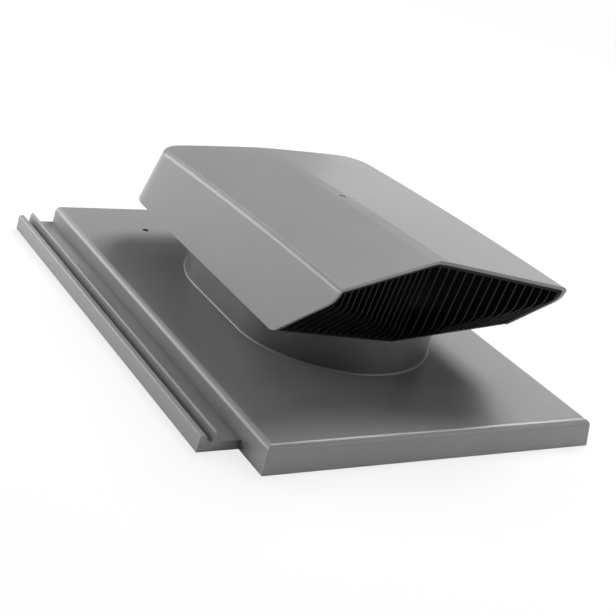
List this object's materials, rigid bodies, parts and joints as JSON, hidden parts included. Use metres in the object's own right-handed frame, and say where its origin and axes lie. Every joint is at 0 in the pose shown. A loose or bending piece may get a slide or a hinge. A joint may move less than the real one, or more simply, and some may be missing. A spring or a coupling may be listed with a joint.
{
  "type": "roof tile vent",
  "caption": "Flat interlocking plastic roof tile with a long-round collar that carries a low ridged hood, open at a raked front mouth with a black finned grille.",
  "frame": {"origin": "centre of the bounding box, on the plane of the tile's lower edge", "axes": "+X across the roof from the side lock to the lapped edge, +Y up the roof away from the mouth, +Z out of the tile's plane"},
  "size_m": [0.333, 0.42, 0.1332],
  "materials": {
    "grey_plastic": "satin moulded",
    "black_plastic": "matte moulded"
  },
  "bodies": {
    "root": {"base_tile": "grey_plastic", "collar": "grey_plastic", "soffit": "grey_plastic", "hood": "grey_plastic", "grille": "black_plastic"}
  },
  "joints": []
}
